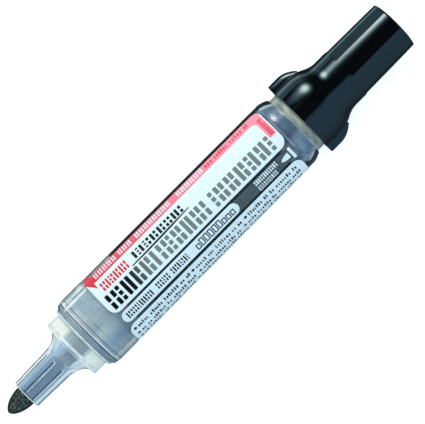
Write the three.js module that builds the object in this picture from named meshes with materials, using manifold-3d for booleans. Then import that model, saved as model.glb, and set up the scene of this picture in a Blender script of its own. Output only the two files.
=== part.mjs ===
// A refillable liquid-ink whiteboard marker, lying on its side with its cap pushed onto its rear end.
//
// Frame: millimetres, +Z up. The marker's axis runs along X, with the nib towards -X and the cap
// towards +X. The label faces +Z and the two fins of the cap point to +Y and -Y. The origin is under
// the middle of the marker, on the surface that it lies on.
//
// Every place along the axis is a station: its distance from the tip of the nib.

import * as THREE from "three";
import { mergeVertices } from "three/addons/utils/BufferGeometryUtils.js";
import Module from "manifold-3d";

const wasm = await Module();
wasm.setup();

// ---------- Driving dimensions (mm) ----------

const TOTAL_LENGTH = 134.0; // with the cap on the rear
const SIDES = 32; // facets of the outer pieces
const INNER_SIDES = 24; // facets of the pieces inside
const FACE_GAP = 0.1; // left between two pieces that meet end to end
const FIT_GAP = 0.15; // left all round a piece that sits in a bore
const SLIDING_GAP = 0.1; // left all round a piece that slides in a bore

const NIB = { radius: 2.8, nose: 6.15, shank: 2.72, shankFrom: 6.7, end: 20.0, noseSteps: 9 };

const NOZZLE = {
  front: 6.15,
  frontRadius: 3.98,
  edge: 0.25,
  snoutEnd: 16.6,
  snoutRadius: 4.26,
  flareRadius: 6.5,
  flareSteps: 5,
  end: 29.6,
  spigotRadius: 6.9,
  coneStart: 17.8,
  coneEnd: 21.8,
  chamberRadius: 6.1,
};
const GROOVES = { count: 9, width: 0.45, depth: 0.28, end: 17.1, firstAngle: -12 };

const COLLAR = { front: 21.6, radius: 8.23, rounding: 0.8, seat: 25.6, end: 29.8 };
const FRONT_SEAL = { station: 27.9, radius: 7.71, cord: 0.32, groove: 1.4, floor: 7.26 };
const FRONT_RING = {
  front: 25.7,
  frontRadius: 9.15,
  shoulder: 26.5,
  shoulderRadius: 9.62,
  rear: 27.5,
  rearRadius: 10.0,
  end: 30.2,
  bore: 8.1,
};

const BARREL = {
  front: FRONT_RING.rear + FACE_GAP,
  fullFrom: 28.4,
  frontRadius: 10.2,
  labelFrom: 34.7,
  labelTo: 95.4,
  shoulder: 96.5,
  shoulderRadius: 9.77,
  end: 98.5,
  endRadius: 9.2,
  endSteps: 3,
  bore: 8.75,
};
const LABEL = { depth: 0.2, thickness: 0.11, clearance: 0.05, endGap: 0.2 };

const COLLECTOR = {
  front: 20.4,
  stemRadius: 2.9,
  combFrom: 30.6,
  end: 38.6,
  rootRadius: 4.6,
  finRadius: 8.5,
  fins: 7,
  finThickness: 0.55,
};
const WICK = { radius: 1.25, end: 41.5 };
const PIERCING_TUBE = { radius: 2.3, end: 42.4 };

const CARTRIDGE = { front: 39.0, end: 91.5, wall: 0.5 };
const STOPPER = { front: CARTRIDGE.front + 0.2, length: 3.4 };
const INK_END = 84.2;
const PISTON = { front: 86.6, end: 90.0, lip: 0.8, waistDepth: 0.5 };

const PLUG = {
  front: 92.0,
  hollowRadius: 7.2,
  hollowEnd: 98.6,
  neckRadius: 8.72,
  neckGroove: 0.16,
  neckRings: 3,
  seat: 100.6,
  postRadius: 8.15,
  chamfer: 0.45,
  end: 107.5,
  chamber: 100.0,
  chamberRadius: 4.3,
  recess: 106.2,
  recessRadius: 5.35,
};
const PLUG_SEAL = { station: 95.1, radius: 8.3, cord: 0.32, groove: 1.6, floor: 7.86 };
const RETAINER_BORE = 3.8;
const BUTTON = {
  flange: 104.4,
  flangeRadius: 4.15,
  head: 105.9,
  headRadius: 3.6,
  end: 110.0,
  rounding: 0.9,
  socketEnd: 107.0,
};
const ROD = { front: 90.2, radius: 1.5, end: 106.9, clearance: 0.12 };
const SPRING = { wire: 0.25, radius: 2.6, turns: 3.5, front: 100.4, end: 104.0, stepsPerTurn: 14 };

const CAP = {
  rim: 100.8,
  skirtRadius: 9.27,
  skirtEnd: 104.8,
  bore: 8.3,
  boreEnd: 108.2,
  neckRadius: 7.16,
  neckFrom: 113.2,
  gripFrom: 116.8,
  gripTo: 133.0,
  gripDraft: 0.18,
  flats: 8,
  flatRadius: 6.98,
  edge: 0.5,
  endDiscRadius: 3.2,
  innerRadius: 5.9,
  innerFrom: 111.0,
  innerEnd: 131.8,
  shoulderSteps: 9,
};
const FIN = {
  reach: 11.1,
  straightTo: 104.4,
  bend: 106.8,
  end: 108.4,
  thickness: 3.0,
  foot: 8.8,
  bevel: 0.35,
};
const LINER = { front: 109.0, bore: 4.35, floor: 128.4, end: 129.4, mouth: 0.5, mouthRadius: 5.55 };

// The lowest facet of the barrel's widest stretch lies flat on the surface, at z = 0.
const AXIS_HEIGHT = BARREL.frontRadius * Math.cos(Math.PI / SIDES);

// ---------- Materials ----------

function plastic(color, roughness, opacity = 1) {
  return new THREE.MeshStandardMaterial({
    color,
    roughness,
    metalness: 0,
    opacity,
    transparent: opacity < 1,
  });
}

const CLEAR = plastic(0xb4c3cf, 0.12, 0.5);
const FROSTED = plastic(0xa9b8c6, 0.3, 0.85);
const MILKY = plastic(0xdedbcc, 0.35, 0.95);
const NECK_GREEN = plastic(0xa3aea6, 0.35);
const CAP_BLACK = plastic(0x10151a, 0.18);
const LINER_WHITE = plastic(0xe6e6e0, 0.45);
const RUBBER = plastic(0x1d1f21, 0.7);
const FELT = plastic(0x2b3131, 0.95);
const INK = plastic(0x08090c, 0.1);
const LABEL_FILM = plastic(0xdceaf2, 0.25);
const SPRING_STEEL = new THREE.MeshStandardMaterial({
  color: 0xc8ccd0,
  roughness: 0.3,
  metalness: 1,
});

// ---------- Shapes ----------

// A piece turned about the marker's axis. The outline is a list of [station, radius] points that
// starts and ends on the axis, or closes on itself. Facets face straight up and straight down.
function turned(outline, sides) {
  const points = outline.map(([station, radius]) => new THREE.Vector2(radius, station));
  const geometry = new THREE.LatheGeometry(points, sides, Math.PI / sides);
  geometry.rotateZ(-Math.PI / 2);
  return geometry;
}

// Points of a circular arc in the outline's plane. Angles are in degrees from the axis's direction.
function arc(station, radius, size, fromAngle, toAngle, steps) {
  const points = [];
  for (let i = 0; i <= steps; i++) {
    const angle = THREE.MathUtils.degToRad(fromAngle + ((toAngle - fromAngle) * i) / steps);
    points.push([station + size * Math.cos(angle), radius + size * Math.sin(angle)]);
  }
  return points;
}

// Points of a smooth S from one radius to another, flat at both ends.
function blend([fromStation, fromRadius], [toStation, toRadius], steps) {
  const middle = (fromStation + toStation) / 2;
  const curve = new THREE.CubicBezierCurve(
    new THREE.Vector2(fromStation, fromRadius),
    new THREE.Vector2(middle, fromRadius),
    new THREE.Vector2(middle, toRadius),
    new THREE.Vector2(toStation, toRadius),
  );
  return curve.getPoints(steps).map((point) => [point.x, point.y]);
}

// Points of a quarter of an ellipse that bends inwards from the first point to the second.
function rounding([fromStation, fromRadius], [toStation, toRadius], steps) {
  const points = [];
  for (let i = 0; i <= steps; i++) {
    const angle = (Math.PI / 2) * (i / steps);
    points.push([
      fromStation + (toStation - fromStation) * Math.sin(angle),
      toRadius + (fromRadius - toRadius) * Math.cos(angle),
    ]);
  }
  return points;
}

// Points of a curve that leaves one radius straight along the axis and steepens to another.
function flare([fromStation, fromRadius], [toStation, toRadius], steps) {
  const curve = new THREE.QuadraticBezierCurve(
    new THREE.Vector2(fromStation, fromRadius),
    new THREE.Vector2(THREE.MathUtils.lerp(fromStation, toStation, 0.6), fromRadius),
    new THREE.Vector2(toStation, toRadius),
  );
  return curve.getPoints(steps).map((point) => [point.x, point.y]);
}

// A plain tube with square ends.
function tube(front, end, outer, inner, sides) {
  return turned(
    [
      [front, inner],
      [front, outer],
      [end, outer],
      [end, inner],
      [front, inner],
    ],
    sides,
  );
}

// A sealing ring of round cord.
function sealingRing({ station, radius, cord }) {
  return turned(arc(station, radius, cord, 180, -180, 6), INNER_SIDES);
}

function solidOf(geometry) {
  const bare = geometry.clone();
  bare.deleteAttribute("normal");
  bare.deleteAttribute("uv");
  const merged = mergeVertices(bare);
  return new wasm.Manifold(
    new wasm.Mesh({
      numProp: 3,
      vertProperties: merged.attributes.position.array,
      triVerts: new Uint32Array(merged.index.array),
    }),
  );
}

function geometryOf(solid) {
  const mesh = solid.getMesh();
  const geometry = new THREE.BufferGeometry();
  geometry.setAttribute("position", new THREE.BufferAttribute(mesh.vertProperties, mesh.numProp));
  geometry.setIndex(new THREE.BufferAttribute(mesh.triVerts, 1));
  geometry.computeVertexNormals();
  return geometry;
}

// The barrel's radius under the label at a station: its walls have a moulder's draft.
function taperedRadius(station) {
  const along = (station - BARREL.fullFrom) / (BARREL.shoulder - BARREL.fullFrom);
  return BARREL.frontRadius + along * (BARREL.shoulderRadius - BARREL.frontRadius);
}

// ---------- Writing end ----------

function nib() {
  const nose = [];
  for (let i = 0; i <= NIB.noseSteps; i++) {
    const angle = (Math.PI / 2) * (i / NIB.noseSteps);
    nose.push([NIB.nose * (1 - Math.cos(angle)), NIB.radius * Math.sin(angle)]);
  }
  return turned([...nose, [NIB.shankFrom, NIB.shank], [NIB.end, NIB.shank], [NIB.end, 0]], INNER_SIDES);
}

function nozzle() {
  const bore = NIB.radius + FIT_GAP;
  const flareEnd = COLLAR.front - FACE_GAP;
  const body = solidOf(
    turned(
      [
        [NOZZLE.front, bore],
        [NOZZLE.front, NOZZLE.frontRadius - NOZZLE.edge],
        [NOZZLE.front + NOZZLE.edge, NOZZLE.frontRadius],
        ...flare([NOZZLE.snoutEnd, NOZZLE.snoutRadius], [flareEnd, NOZZLE.flareRadius], NOZZLE.flareSteps),
        [flareEnd, NOZZLE.spigotRadius],
        [NOZZLE.end, NOZZLE.spigotRadius],
        [NOZZLE.end, NOZZLE.chamberRadius],
        [NOZZLE.coneEnd, NOZZLE.chamberRadius],
        [NOZZLE.coneStart, bore],
        [NOZZLE.front, bore],
      ],
      SIDES,
    ),
  );
  return geometryOf(nozzleGrooves().reduce((left, groove) => left.subtract(groove), body));
}

// Shallow grip grooves along the snout, open at its front.
function nozzleGrooves() {
  const front = NOZZLE.front - 1; // well clear of the nozzle's front face
  const length = GROOVES.end - front;
  const grooves = [];
  for (let i = 0; i < GROOVES.count; i++) {
    const cutter = new THREE.BoxGeometry(length, GROOVES.width, 2 * GROOVES.depth);
    cutter.translate(front + length / 2, 0, NOZZLE.snoutRadius);
    cutter.rotateX(THREE.MathUtils.degToRad(GROOVES.firstAngle + (360 * i) / GROOVES.count));
    grooves.push(solidOf(cutter));
  }
  return grooves;
}

// The seat that the closed cap grips. Its narrower rear end plugs into the front ring.
function seatCollar() {
  const bore = NOZZLE.spigotRadius + FIT_GAP;
  const spigot = FRONT_RING.bore - FIT_GAP;
  const grooveFront = FRONT_SEAL.station - FRONT_SEAL.groove / 2;
  const grooveRear = FRONT_SEAL.station + FRONT_SEAL.groove / 2;
  return turned(
    [
      [COLLAR.front, bore],
      ...arc(COLLAR.front + COLLAR.rounding, COLLAR.radius - COLLAR.rounding, COLLAR.rounding, 180, 90, 4),
      [COLLAR.seat, COLLAR.radius],
      [COLLAR.seat, spigot],
      [grooveFront, spigot],
      [grooveFront, FRONT_SEAL.floor],
      [grooveRear, FRONT_SEAL.floor],
      [grooveRear, spigot],
      [COLLAR.end, spigot],
      [COLLAR.end, bore],
      [COLLAR.front, bore],
    ],
    SIDES,
  );
}

function frontRing() {
  const spigot = BARREL.bore - FIT_GAP;
  return turned(
    [
      [FRONT_RING.front, FRONT_RING.bore],
      [FRONT_RING.front, FRONT_RING.frontRadius],
      [FRONT_RING.shoulder, FRONT_RING.shoulderRadius],
      [FRONT_RING.rear, FRONT_RING.rearRadius],
      [FRONT_RING.rear, spigot],
      [FRONT_RING.end, spigot],
      [FRONT_RING.end, FRONT_RING.bore],
      [FRONT_RING.front, FRONT_RING.bore],
    ],
    SIDES,
  );
}

// A comb of thin discs that takes up spare ink, on a stem that holds the nib's wick.
function inkCollector() {
  const bore = WICK.radius + FIT_GAP;
  const pitch = (COLLECTOR.end - COLLECTOR.combFrom - COLLECTOR.finThickness) / (COLLECTOR.fins - 1);
  const comb = [];
  for (let i = 0; i < COLLECTOR.fins; i++) {
    const station = COLLECTOR.combFrom + i * pitch;
    const root = i === 0 ? COLLECTOR.stemRadius : COLLECTOR.rootRadius;
    comb.push([station, root]);
    comb.push([station, COLLECTOR.finRadius]);
    comb.push([station + COLLECTOR.finThickness, COLLECTOR.finRadius]);
    if (i < COLLECTOR.fins - 1) comb.push([station + COLLECTOR.finThickness, COLLECTOR.rootRadius]);
  }
  return turned(
    [
      [COLLECTOR.front, bore],
      [COLLECTOR.front, COLLECTOR.stemRadius],
      ...comb,
      [COLLECTOR.end, bore],
      [COLLECTOR.front, bore],
    ],
    INNER_SIDES,
  );
}

function wick() {
  const front = NIB.end + FACE_GAP;
  return turned(
    [
      [front, 0],
      [front, WICK.radius],
      [WICK.end, WICK.radius],
      [WICK.end, 0],
    ],
    INNER_SIDES,
  );
}

function piercingTube() {
  const front = COLLECTOR.end + FACE_GAP;
  return tube(front, PIERCING_TUBE.end, PIERCING_TUBE.radius, WICK.radius + FIT_GAP, INNER_SIDES);
}

// ---------- Barrel ----------

function barrel() {
  const recess = (station) => taperedRadius(station) - LABEL.depth;
  return turned(
    [
      [BARREL.front, BARREL.bore],
      [BARREL.front, FRONT_RING.rearRadius],
      [BARREL.fullFrom, BARREL.frontRadius],
      [BARREL.labelFrom, taperedRadius(BARREL.labelFrom)],
      [BARREL.labelFrom, recess(BARREL.labelFrom)],
      [BARREL.labelTo, recess(BARREL.labelTo)],
      [BARREL.labelTo, taperedRadius(BARREL.labelTo)],
      ...rounding([BARREL.shoulder, BARREL.shoulderRadius], [BARREL.end, BARREL.endRadius], BARREL.endSteps),
      [BARREL.end, BARREL.bore],
      [BARREL.front, BARREL.bore],
    ],
    SIDES,
  );
}

function labelFilm() {
  const front = BARREL.labelFrom + LABEL.endGap;
  const end = BARREL.labelTo - LABEL.endGap;
  const inner = (station) => taperedRadius(station) - LABEL.depth + LABEL.clearance;
  return turned(
    [
      [front, inner(front)],
      [front, inner(front) + LABEL.thickness],
      [end, inner(end) + LABEL.thickness],
      [end, inner(end)],
      [front, inner(front)],
    ],
    SIDES,
  );
}

// ---------- Ink cartridge ----------

const CARTRIDGE_RADIUS = BARREL.bore - FIT_GAP;
const CARTRIDGE_BORE = CARTRIDGE_RADIUS - CARTRIDGE.wall;
const CONTENT_RADIUS = CARTRIDGE_BORE - SLIDING_GAP; // of all that sits or slides in the cartridge

function cartridgeTube() {
  return tube(CARTRIDGE.front, CARTRIDGE.end, CARTRIDGE_RADIUS, CARTRIDGE_BORE, SIDES);
}

function cartridgeStopper() {
  const hole = PIERCING_TUBE.radius + FIT_GAP;
  return tube(STOPPER.front, STOPPER.front + STOPPER.length, CONTENT_RADIUS, hole, SIDES);
}

function inkCharge() {
  const front = STOPPER.front + STOPPER.length + FACE_GAP;
  return turned(
    [
      [front, 0],
      [front, CONTENT_RADIUS],
      [INK_END, CONTENT_RADIUS],
      [INK_END, 0],
    ],
    INNER_SIDES,
  );
}

function cartridgePiston() {
  const waist = CONTENT_RADIUS - PISTON.waistDepth;
  return turned(
    [
      [PISTON.front, 0],
      [PISTON.front, CONTENT_RADIUS],
      [PISTON.front + PISTON.lip, CONTENT_RADIUS],
      [PISTON.front + PISTON.lip, waist],
      [PISTON.end - PISTON.lip, waist],
      [PISTON.end - PISTON.lip, CONTENT_RADIUS],
      [PISTON.end, CONTENT_RADIUS],
      [PISTON.end, 0],
    ],
    SIDES,
  );
}

// ---------- Rear plug and its pump button ----------

function rearPlug() {
  const spigot = BARREL.bore - FIT_GAP;
  const grooveFront = PLUG_SEAL.station - PLUG_SEAL.groove / 2;
  const grooveRear = PLUG_SEAL.station + PLUG_SEAL.groove / 2;
  const neckFront = BARREL.end + FACE_GAP;
  const ringPitch = (PLUG.seat - neckFront) / PLUG.neckRings;
  const neck = [];
  for (let i = 0; i < PLUG.neckRings; i++) {
    const front = neckFront + i * ringPitch;
    neck.push([front, PLUG.neckRadius]);
    neck.push([front + 0.6 * ringPitch, PLUG.neckRadius]);
    neck.push([front + 0.8 * ringPitch, PLUG.neckRadius - PLUG.neckGroove]);
  }
  const rodHole = ROD.radius + ROD.clearance;
  return turned(
    [
      [PLUG.front, PLUG.hollowRadius],
      [PLUG.front, spigot - PLUG.chamfer],
      [PLUG.front + PLUG.chamfer, spigot],
      [grooveFront, spigot],
      [grooveFront, PLUG_SEAL.floor],
      [grooveRear, PLUG_SEAL.floor],
      [grooveRear, spigot],
      [neckFront, spigot],
      ...neck,
      [PLUG.seat, PLUG.neckRadius],
      [PLUG.seat, PLUG.postRadius],
      [PLUG.end - PLUG.chamfer, PLUG.postRadius],
      [PLUG.end, PLUG.postRadius - PLUG.chamfer],
      [PLUG.end, PLUG.recessRadius],
      [PLUG.recess, PLUG.recessRadius],
      [PLUG.recess, PLUG.chamberRadius],
      [PLUG.chamber, PLUG.chamberRadius],
      [PLUG.chamber, rodHole],
      [PLUG.hollowEnd, rodHole],
      [PLUG.hollowEnd, PLUG.hollowRadius],
      [PLUG.front, PLUG.hollowRadius],
    ],
    SIDES,
  );
}

function buttonRetainer() {
  const front = PLUG.recess + FACE_GAP;
  return tube(front, PLUG.end, PLUG.recessRadius - FIT_GAP, RETAINER_BORE, INNER_SIDES);
}

function pumpButton() {
  const socket = ROD.radius + ROD.clearance;
  return turned(
    [
      [BUTTON.socketEnd, 0],
      [BUTTON.socketEnd, socket],
      [BUTTON.flange, socket],
      [BUTTON.flange, BUTTON.flangeRadius],
      [BUTTON.head, BUTTON.flangeRadius],
      [BUTTON.head, BUTTON.headRadius],
      ...arc(BUTTON.end - BUTTON.rounding, BUTTON.headRadius - BUTTON.rounding, BUTTON.rounding, 90, 0, 4),
      [BUTTON.end, 0],
    ],
    INNER_SIDES,
  );
}

function pumpRod() {
  return turned(
    [
      [ROD.front, 0],
      [ROD.front, ROD.radius],
      [ROD.end, ROD.radius],
      [ROD.end, 0],
    ],
    INNER_SIDES,
  );
}

class Helix extends THREE.Curve {
  getPoint(t, target = new THREE.Vector3()) {
    const angle = 2 * Math.PI * SPRING.turns * t;
    const station = SPRING.front + t * (SPRING.end - SPRING.front);
    return target.set(station, SPRING.radius * Math.cos(angle), SPRING.radius * Math.sin(angle));
  }
}

function pumpSpring() {
  const section = new THREE.Shape().absarc(0, 0, SPRING.wire, 0, 2 * Math.PI);
  return new THREE.ExtrudeGeometry(section, {
    extrudePath: new Helix(),
    steps: Math.round(SPRING.turns * SPRING.stepsPerTurn),
    curveSegments: 3,
  });
}

// ---------- Cap ----------

// The round shell of the cap: a skirt, a smooth shoulder, a neck and a domed, closed end.
function capShell() {
  const gripEndRadius = CAP.neckRadius - CAP.gripDraft;
  const shell = solidOf(
    turned(
      [
        [CAP.innerEnd, 0],
        [CAP.innerEnd, CAP.innerRadius - CAP.edge],
        [CAP.innerEnd - CAP.edge, CAP.innerRadius],
        [CAP.innerFrom, CAP.innerRadius],
        [CAP.boreEnd, CAP.bore],
        [CAP.rim, CAP.bore],
        [CAP.rim, CAP.skirtRadius],
        ...blend([CAP.skirtEnd, CAP.skirtRadius], [CAP.neckFrom, CAP.neckRadius], CAP.shoulderSteps),
        [CAP.gripFrom, CAP.neckRadius],
        [CAP.gripTo, gripEndRadius],
        [CAP.gripTo + CAP.edge, gripEndRadius - CAP.edge],
        [TOTAL_LENGTH, CAP.endDiscRadius],
        [TOTAL_LENGTH, 0],
      ],
      SIDES,
    ),
  );
  const faceted = gripCutters().reduce((left, cutter) => left.subtract(cutter), shell);
  return geometryOf(fins().reduce((joined, fin) => joined.add(fin), faceted));
}

// Blocks that plane the flats of the grip, leaning inwards with its draft. One flat faces up.
function gripCutters() {
  const length = TOTAL_LENGTH - CAP.gripFrom + 1; // past the cap's end
  const height = 2;
  const lean = Math.atan(CAP.gripDraft / (CAP.gripTo - CAP.gripFrom));
  const cutters = [];
  for (let i = 0; i < CAP.flats; i++) {
    const block = new THREE.BoxGeometry(length, 2 * CAP.neckRadius, height);
    block.translate(length / 2, 0, height / 2);
    block.rotateY(lean);
    block.translate(CAP.gripFrom, 0, CAP.flatRadius);
    block.rotateX((2 * Math.PI * i) / CAP.flats);
    cutters.push(solidOf(block));
  }
  return cutters;
}

// Two fins on the skirt stop the marker from rolling off a desk.
function fins() {
  const outline = new THREE.Shape();
  const foot = FIN.foot + FIN.bevel;
  const reach = FIN.reach - FIN.bevel;
  outline.moveTo(CAP.rim + FIN.bevel, foot);
  outline.lineTo(CAP.rim + FIN.bevel, reach);
  outline.lineTo(FIN.straightTo, reach);
  outline.quadraticCurveTo(FIN.bend, reach, FIN.end - FIN.bevel, foot);
  return [0, Math.PI].map((turn) => {
    const fin = new THREE.ExtrudeGeometry(outline, {
      depth: FIN.thickness - 2 * FIN.bevel,
      bevelThickness: FIN.bevel,
      bevelSize: FIN.bevel,
      bevelSegments: 1,
      curveSegments: 6,
    });
    fin.translate(0, 0, FIN.bevel - FIN.thickness / 2);
    fin.rotateX(turn);
    return solidOf(fin);
  });
}

// The inner cup that seals round the nozzle when the marker is closed.
function capLiner() {
  const outer = CAP.innerRadius - FIT_GAP;
  return turned(
    [
      [LINER.floor, 0],
      [LINER.floor, LINER.bore],
      [LINER.front + LINER.mouth, LINER.bore],
      [LINER.front, LINER.bore + LINER.mouth],
      [LINER.front, LINER.mouthRadius],
      [CAP.innerFrom, outer],
      [LINER.end, outer],
      [LINER.end, 0],
    ],
    INNER_SIDES,
  );
}

// ---------- Assembly ----------

function piece(name, geometry, material) {
  const mesh = new THREE.Mesh(geometry, material);
  mesh.name = name;
  return mesh;
}

function assembly(...pieces) {
  return new THREE.Group().add(...pieces);
}

const writingEnd = assembly(
  piece("nib", nib(), FELT),
  piece("nozzle", nozzle(), FROSTED),
  piece("seat_collar", seatCollar(), MILKY),
  piece("front_seal_ring", sealingRing(FRONT_SEAL), RUBBER),
  piece("front_ring", frontRing(), FROSTED),
  piece("ink_collector", inkCollector(), MILKY),
  piece("feed_wick", wick(), FELT),
  piece("piercing_tube", piercingTube(), MILKY),
);

const body = assembly(piece("barrel", barrel(), CLEAR), piece("label_film", labelFilm(), LABEL_FILM));

const cartridge = assembly(
  piece("cartridge_tube", cartridgeTube(), CLEAR),
  piece("cartridge_stopper", cartridgeStopper(), RUBBER),
  piece("ink_charge", inkCharge(), INK),
  piece("cartridge_piston", cartridgePiston(), RUBBER),
);

const rearEnd = assembly(
  piece("rear_plug", rearPlug(), NECK_GREEN),
  piece("plug_seal_ring", sealingRing(PLUG_SEAL), RUBBER),
  piece("button_retainer", buttonRetainer(), NECK_GREEN),
  piece("pump_button", pumpButton(), CAP_BLACK),
  piece("pump_rod", pumpRod(), MILKY),
  piece("pump_spring", pumpSpring(), SPRING_STEEL),
);

const cap = assembly(piece("cap_shell", capShell(), CAP_BLACK), piece("cap_liner", capLiner(), LINER_WHITE));

const marker = assembly(writingEnd, body, cartridge, rearEnd, cap);
marker.position.set(-TOTAL_LENGTH / 2, 0, AXIS_HEIGHT);

export default marker;
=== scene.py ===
"""Looks of the whiteboard marker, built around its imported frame.

Lengths along the marker are stations: millimetres from the tip of the nib. Angles round it are degrees
from straight up, positive towards -Y. Both become metres in the frame through place().
"""

import math
import random

import bmesh
import bpy
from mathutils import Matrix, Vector, noise


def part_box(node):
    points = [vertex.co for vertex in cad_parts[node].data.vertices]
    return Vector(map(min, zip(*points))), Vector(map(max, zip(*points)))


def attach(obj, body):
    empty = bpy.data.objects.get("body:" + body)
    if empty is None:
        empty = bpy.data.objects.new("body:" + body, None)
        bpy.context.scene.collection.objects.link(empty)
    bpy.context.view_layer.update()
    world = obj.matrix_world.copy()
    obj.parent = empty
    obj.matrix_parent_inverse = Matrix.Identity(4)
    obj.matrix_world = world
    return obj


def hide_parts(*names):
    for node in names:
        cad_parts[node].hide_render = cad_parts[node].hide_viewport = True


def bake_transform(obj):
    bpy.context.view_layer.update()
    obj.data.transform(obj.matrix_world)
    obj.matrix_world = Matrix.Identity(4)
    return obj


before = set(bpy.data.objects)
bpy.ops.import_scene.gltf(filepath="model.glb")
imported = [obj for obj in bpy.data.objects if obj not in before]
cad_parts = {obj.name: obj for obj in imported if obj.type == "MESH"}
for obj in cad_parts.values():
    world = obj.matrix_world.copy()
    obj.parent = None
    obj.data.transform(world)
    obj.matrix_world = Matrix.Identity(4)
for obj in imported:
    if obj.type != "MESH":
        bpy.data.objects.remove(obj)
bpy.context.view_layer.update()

MM = 0.001
TIP_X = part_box("nib")[0].x
AXIS_Z = (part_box("cap_shell")[0].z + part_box("cap_shell")[1].z) / 2
LENGTH = (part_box("cap_shell")[1].x - TIP_X) / MM


def place(station, radius, angle):
    """A point in the frame, in metres."""
    turn = math.radians(angle)
    across = -radius * MM * math.sin(turn)
    return Vector((TIP_X + station * MM, across, AXIS_Z + radius * MM * math.cos(turn)))


def span_of(node):
    """The stations of a CAD node's front and rear ends."""
    low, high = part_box(node)
    return (low.x - TIP_X) / MM, (high.x - TIP_X) / MM


def front_of(node):
    return span_of(node)[0]


def radius_of(node):
    """A CAD node's largest radius, read across the marker."""
    low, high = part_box(node)
    return (high.y - low.y) / 2 / MM


def off_nearest(angle, first, count):
    """Degrees from the nearest of some evenly spaced places round the marker."""
    pitch = 360 / count
    return (angle - first + pitch / 2) % pitch - pitch / 2


# ---- mesh helpers

FILLET_STEPS = 4


def filleted(corners, closed=True):
    """Points of an outline whose corners (station, radius, fillet) are rounded."""
    points = []
    count = len(corners)
    for i, (station, radius, fillet) in enumerate(corners):
        here = Vector((station, radius))
        if fillet <= 0 or (not closed and i in (0, count - 1)):
            points.append((station, radius))
            continue
        before = Vector(corners[i - 1][:2]) - here
        after = Vector(corners[(i + 1) % count][:2]) - here
        start = here + before.normalized() * min(fillet, 0.45 * before.length)
        end = here + after.normalized() * min(fillet, 0.45 * after.length)
        for step in range(FILLET_STEPS + 1):
            t = step / FILLET_STEPS
            points.append(tuple(start * (1 - t) ** 2 + here * 2 * t * (1 - t) + end * t**2))
    return points


def curve(start, first, second, end, steps):
    """Points of a cubic curve, without its last point, as corners with no fillet."""
    points = []
    for i in range(steps):
        t = i / steps
        weights = ((1 - t) ** 3, 3 * t * (1 - t) ** 2, 3 * t * t * (1 - t), t**3)
        corner = [sum(w * p[k] for w, p in zip(weights, (start, first, second, end))) for k in (0, 1)]
        points.append((corner[0], corner[1], 0))
    return points


def tube_corners(front, end, outer, inner, fillet):
    return [(*corner, fillet) for corner in ((front, inner), (front, outer), (end, outer), (end, inner))]


def even_angles(count):
    return [360 * i / count for i in range(count)]


def bridge(made, rings):
    """Faces from each ring of vertices to the next. A ring may be one vertex."""
    for one, two in zip(rings, rings[1:]):
        count = max(len(one), len(two))
        for i in range(count):
            j = (i + 1) % count
            if len(one) == 1:
                made.faces.new((one[0], two[j], two[i]))
            elif len(two) == 1:
                made.faces.new((one[i], one[j], two[0]))
            else:
                made.faces.new((one[i], one[j], two[j], two[i]))


def finished(name, made, smooth_angle=25):
    """Turns a bmesh into a smooth-shaded object with its faces pointing out."""
    bmesh.ops.recalc_face_normals(made, faces=made.faces)
    mesh = bpy.data.meshes.new(name)
    made.to_mesh(mesh)
    made.free()
    mesh.shade_smooth()
    mesh.set_sharp_from_angle(angle=math.radians(smooth_angle))
    thing = bpy.data.objects.new(name, mesh)
    bpy.context.scene.collection.objects.link(thing)
    return thing


def turned(name, corners, angles=None, shape=None, smooth_angle=25):
    """A solid turned about the axis from corners (station, radius, fillet), which close on themselves or
    start and end on the axis. shape(station, radius, angle) may change the radius at each angle."""
    angles = angles or even_angles(144)
    on_axis = corners[0][1] == 0
    made = bmesh.new()
    rings = []
    for station, radius in filleted(corners, closed=not on_axis):
        if radius < 1e-6:
            rings.append([made.verts.new(place(station, 0, 0))])
            continue
        ring = []
        for angle in angles:
            reach = shape(station, radius, angle) if shape else radius
            ring.append(made.verts.new(place(station, reach, angle)))
        rings.append(ring)
    bridge(made, rings if on_axis else rings + rings[:1])
    return finished(name, made, smooth_angle)


ANYWHERE = (-math.inf, math.inf)


def second_material(thing, material, stations=ANYWHERE, radii=ANYWHERE, angles=ANYWHERE, measure=None):
    """Gives another material to the faces whose middle lies within limits. measure may turn the angle into
    another number first."""
    thing.data.materials.append(material)
    for face in thing.data.polygons:
        across = face.center.y / MM
        up = (face.center.z - AXIS_Z) / MM
        angle = math.degrees(math.atan2(-across, up))
        if measure:
            angle = measure(angle)
        spot = ((face.center.x - TIP_X) / MM, math.hypot(across, up), angle)
        if all(low < value < high for value, (low, high) in zip(spot, (stations, radii, angles))):
            face.material_index = len(thing.data.materials) - 1


def add_piece(thing, body, node, material):
    """Puts a piece on a body, in the place of a CAD node, with its finish."""
    thing.data.materials.append(material)
    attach(thing, body)
    if node:
        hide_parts(node)
    return thing


# ---- material helpers


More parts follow.
